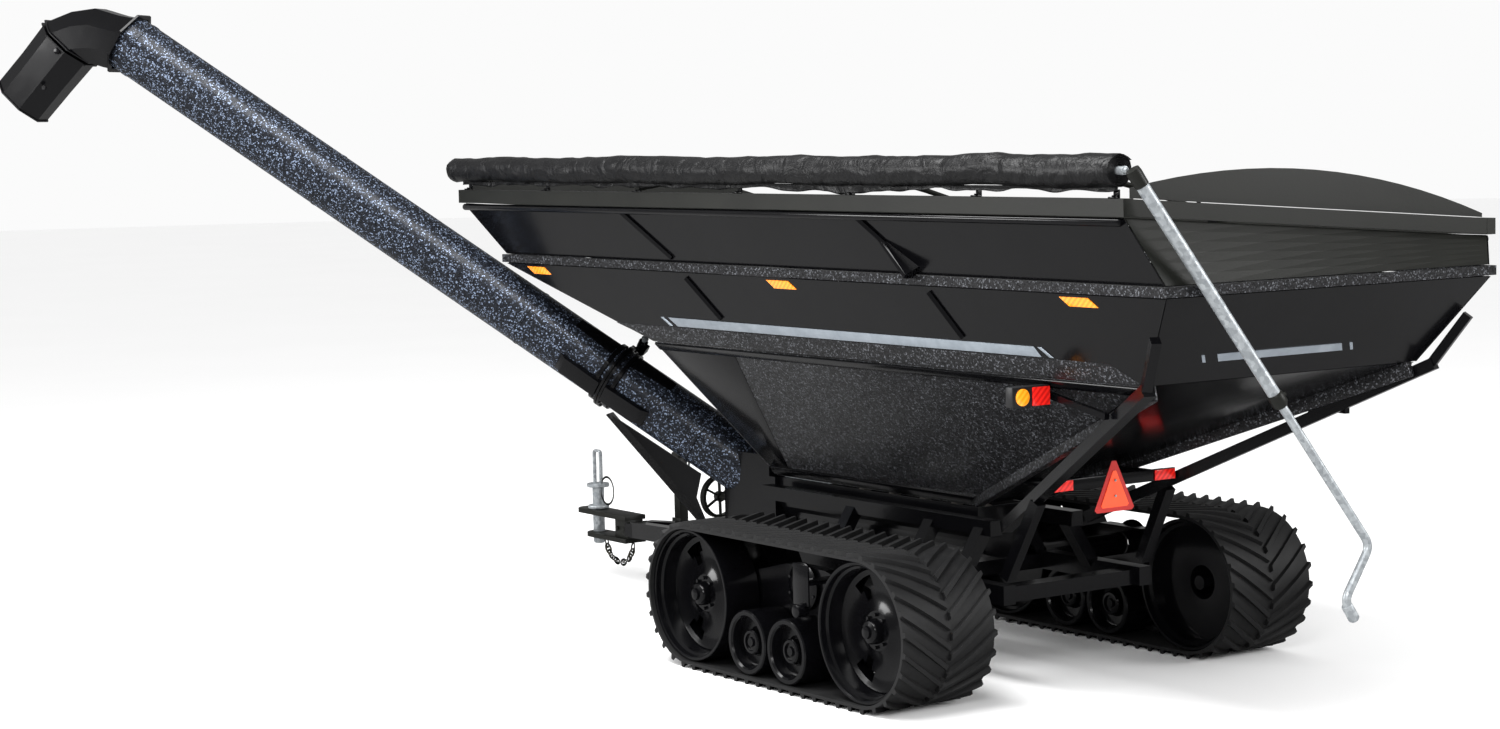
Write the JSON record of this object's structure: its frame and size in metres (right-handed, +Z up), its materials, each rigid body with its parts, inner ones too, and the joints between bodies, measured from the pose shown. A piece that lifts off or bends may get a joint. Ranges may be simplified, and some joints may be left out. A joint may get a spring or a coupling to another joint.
{
  "type": "grain cart",
  "caption": "Tracked grain cart: hopper tank with rolled tarp and hand crank, folding corner auger with tilting spout, belt track bogies and a clevis hitch.",
  "frame": {"origin": "centre of the bounding box, on the ground", "axes": "+X forward to the hitch, +Y to the auger side, +Z up"},
  "size_m": [13.3214, 7.1836, 5.645],
  "materials": {
    "gloss_black_paint": "high gloss black topcoat",
    "flake_black_paint": "black paint with coarse metallic flake",
    "satin_black_paint": "satin black with a faint olive cast",
    "track_rubber": "moulded black rubber",
    "galvanised_steel": "dull zinc",
    "tarp_vinyl": "coated vinyl cloth, wrinkled",
    "sign_orange": "fluorescent orange sheet with red border",
    "lamp_plastic": "moulded housing with amber and red lenses",
    "auger_steel": "worn screw steel"
  },
  "bodies": {
    "cart": {"left_upper_side": "gloss_black_paint", "left_lower_side": "gloss_black_paint", "right_upper_side": "gloss_black_paint", "right_lower_side": "gloss_black_paint", "rear_upper_wall": "satin_black_paint", "front_upper_wall": "satin_black_paint", "rear_lower_wall": "gloss_black_paint", "front_lower_wall": "gloss_black_paint", "rim_rail": "satin_black_paint", "mid_ledge": "flake_black_paint", "rear_end_cap": "satin_black_paint", "front_end_cap": "satin_black_paint", "tarp_bow_rear": "satin_black_paint", "tarp_bow_front": "satin_black_paint", "hopper_left": "flake_black_paint", "hopper_right": "flake_black_paint", "hopper_rear": "gloss_black_paint", "hopper_front": "gloss_black_paint", "sump_trough": "gloss_black_paint", "lower_auger_tube": "flake_black_paint", "hinge_pin": "galvanised_steel", "auger_support": "gloss_black_paint", "main_frame": "gloss_black_paint", "frame_tube_left": "gloss_black_paint", "frame_tube_right": "gloss_black_paint", "tongue_frame": "gloss_black_paint", "rear_crossbar": "gloss_black_paint", "slow_vehicle_sign": "sign_orange", "lamp_arm_left": "gloss_black_paint", "lamp_arm_right": "gloss_black_paint", "lamp_left": "lamp_plastic", "lamp_right": "lamp_plastic", "tarp_roll": "tarp_vinyl"},
    "auger": {"upper_auger_tube": "flake_black_paint", "auger_elbow": "gloss_black_paint"},
    "spout": {"spout_hood": "gloss_black_paint"},
    "upper_screw": {"upper_flighting": "auger_steel"},
    "lower_screw": {"lower_flighting": "auger_steel"},
    "floor_screw": {"floor_auger": "auger_steel"},
    "sheave": {"drive_sheave": "satin_black_paint"},
    "door": {"flow_door": "galvanised_steel"},
    "tarp_shaft": {"tarp_tube": "galvanised_steel"},
    "crank": {"crank_rod": "galvanised_steel"},
    "clevis": {"hitch_clevis": "satin_black_paint", "safety_chain": "galvanised_steel"},
    "pin": {"hitch_pin": "galvanised_steel"},
    "jack": {"jack_body": "satin_black_paint"},
    "jack_foot": {"jack_leg": "galvanised_steel"},
    "left_bogie": {"left_track_frame": "gloss_black_paint", "left_belt": "track_rubber"},
    "left_front_wheel": {"left_front_wheel": "gloss_black_paint"},
    "left_rear_wheel": {"left_rear_wheel": "gloss_black_paint"},
    "left_front_roller": {"left_front_roller": "gloss_black_paint"},
    "left_rear_roller": {"left_rear_roller": "gloss_black_paint"},
    "right_bogie": {"right_track_frame": "gloss_black_paint", "right_belt": "track_rubber"},
    "right_front_wheel": {"right_front_wheel": "gloss_black_paint"},
    "right_rear_wheel": {"right_rear_wheel": "gloss_black_paint"},
    "right_front_roller": {"right_front_roller": "gloss_black_paint"},
    "right_rear_roller": {"right_rear_roller": "gloss_black_paint"}
  },
  "joints": [
    {"name": "auger_fold", "type": "hinge", "parent": "cart", "child": "auger", "pos_m": [2.03664, -0.90561, 2.25383], "axis": [0.6488, 0.0263, -0.7605], "range_deg": [0, 83]},
    {"name": "spout_tilt", "type": "hinge", "parent": "auger", "child": "spout", "pos_m": [6.0883, 3.04472, 5.518], "axis": [0.6543, -0.7563, 0], "range_deg": [0, 35]},
    {"name": "sheave_spin", "type": "hinge", "parent": "cart", "child": "sheave", "pos_m": [1.559, -1.497, 0.97], "axis": [1, 0, 0], "continuous": true},
    {"name": "floor_auger_spin", "type": "hinge", "parent": "cart", "child": "floor_screw", "pos_m": [-1.021, -1.497, 1.12], "axis": [1, 0, 0], "continuous": true},
    {"name": "lower_auger_spin", "type": "hinge", "parent": "cart", "child": "lower_screw", "pos_m": [1.879, -0.597, 2.13], "axis": [0.6289, 0.5441, 0.5554], "continuous": true},
    {"name": "upper_auger_spin", "type": "hinge", "parent": "auger", "child": "upper_screw", "pos_m": [1.879, -0.597, 2.13], "axis": [0.6289, 0.5441, 0.5554], "continuous": true},
    {"name": "flow_door_slide", "type": "slide", "parent": "cart", "child": "door", "axis": [-1, 0, 0], "range_m": [0, 0.6]},
    {"name": "crank_spin", "type": "hinge", "parent": "cart", "child": "crank", "pos_m": [-6.146, 0.318, 4.028], "axis": [-0.1512, -0.5415, -0.827], "continuous": true},
    {"name": "tarp_tube_spin", "type": "hinge", "parent": "cart", "child": "tarp_shaft", "pos_m": [-1.521, 0.328, 4.048], "axis": [1, 0, 0], "continuous": true},
    {"name": "clevis_swivel", "type": "hinge", "parent": "cart", "child": "clevis", "pos_m": [3.041, -1.497, 0.51], "axis": [1, 0, 0], "range_deg": [-12, 12]},
    {"name": "hitch_pin_lift", "type": "slide", "parent": "clevis", "child": "pin", "axis": [0, 0, 1], "range_m": [0, 0.45]},
    {"name": "jack_swing", "type": "hinge", "parent": "cart", "child": "jack", "pos_m": [2.679, -1.669, 0.56], "axis": [0, 1, 0], "range_deg": [0, 90]},
    {"name": "jack_leg_slide", "type": "slide", "parent": "jack", "child": "jack_foot", "axis": [0, 0, -1], "range_m": [0, 0.4]},
    {"name": "left_bogie_tilt", "type": "hinge", "parent": "cart", "child": "left_bogie", "pos_m": [-2.181, 0.157, 0.78], "axis": [0, 1, 0], "range_deg": [-8, 8]},
    {"name": "left_front_wheel_spin", "type": "hinge", "parent": "left_bogie", "child": "left_front_wheel", "pos_m": [-1.025, 0.157, 0.601], "axis": [0, 1, 0], "continuous": true},
    {"name": "left_rear_wheel_spin", "type": "hinge", "parent": "left_bogie", "child": "left_rear_wheel", "pos_m": [-3.34, 0.157, 0.601], "axis": [0, 1, 0], "continuous": true},
    {"name": "left_front_roller_spin", "type": "hinge", "parent": "left_bogie", "child": "left_front_roller", "pos_m": [-1.833, 0.157, 0.321], "axis": [0, 1, 0], "continuous": true},
    {"name": "left_rear_roller_spin", "type": "hinge", "parent": "left_bogie", "child": "left_rear_roller", "pos_m": [-2.371, 0.157, 0.321], "axis": [0, 1, 0], "continuous": true},
    {"name": "right_bogie_tilt", "type": "hinge", "parent": "cart", "child": "right_bogie", "pos_m": [-2.181, -3.151, 0.78], "axis": [0, 1, 0], "range_deg": [-8, 8]},
    {"name": "right_front_wheel_spin", "type": "hinge", "parent": "right_bogie", "child": "right_front_wheel", "pos_m": [-1.025, -3.151, 0.601], "axis": [0, 1, 0], "continuous": true},
    {"name": "right_rear_wheel_spin", "type": "hinge", "parent": "right_bogie", "child": "right_rear_wheel", "pos_m": [-3.34, -3.151, 0.601], "axis": [0, 1, 0], "continuous": true},
    {"name": "right_front_roller_spin", "type": "hinge", "parent": "right_bogie", "child": "right_front_roller", "pos_m": [-1.833, -3.151, 0.321], "axis": [0, 1, 0], "continuous": true},
    {"name": "right_rear_roller_spin", "type": "hinge", "parent": "right_bogie", "child": "right_rear_roller", "pos_m": [-2.371, -3.151, 0.321], "axis": [0, 1, 0], "continuous": true}
  ],
  "couplings": [
    {"joint": "floor_auger_spin", "follows": "sheave_spin", "ratio": 1},
    {"joint": "lower_auger_spin", "follows": "sheave_spin", "ratio": 1},
    {"joint": "upper_auger_spin", "follows": "sheave_spin", "ratio": 1},
    {"joint": "tarp_tube_spin", "follows": "crank_spin", "ratio": 1},
    {"joint": "left_rear_wheel_spin", "follows": "left_front_wheel_spin", "ratio": 1},
    {"joint": "left_front_roller_spin", "follows": "left_front_wheel_spin", "ratio": 2.0853},
    {"joint": "left_rear_roller_spin", "follows": "left_front_wheel_spin", "ratio": 2.0853},
    {"joint": "right_rear_wheel_spin", "follows": "right_front_wheel_spin", "ratio": 1},
    {"joint": "right_front_roller_spin", "follows": "right_front_wheel_spin", "ratio": 2.0853},
    {"joint": "right_rear_roller_spin", "follows": "right_front_wheel_spin", "ratio": 2.0853}
  ]
}
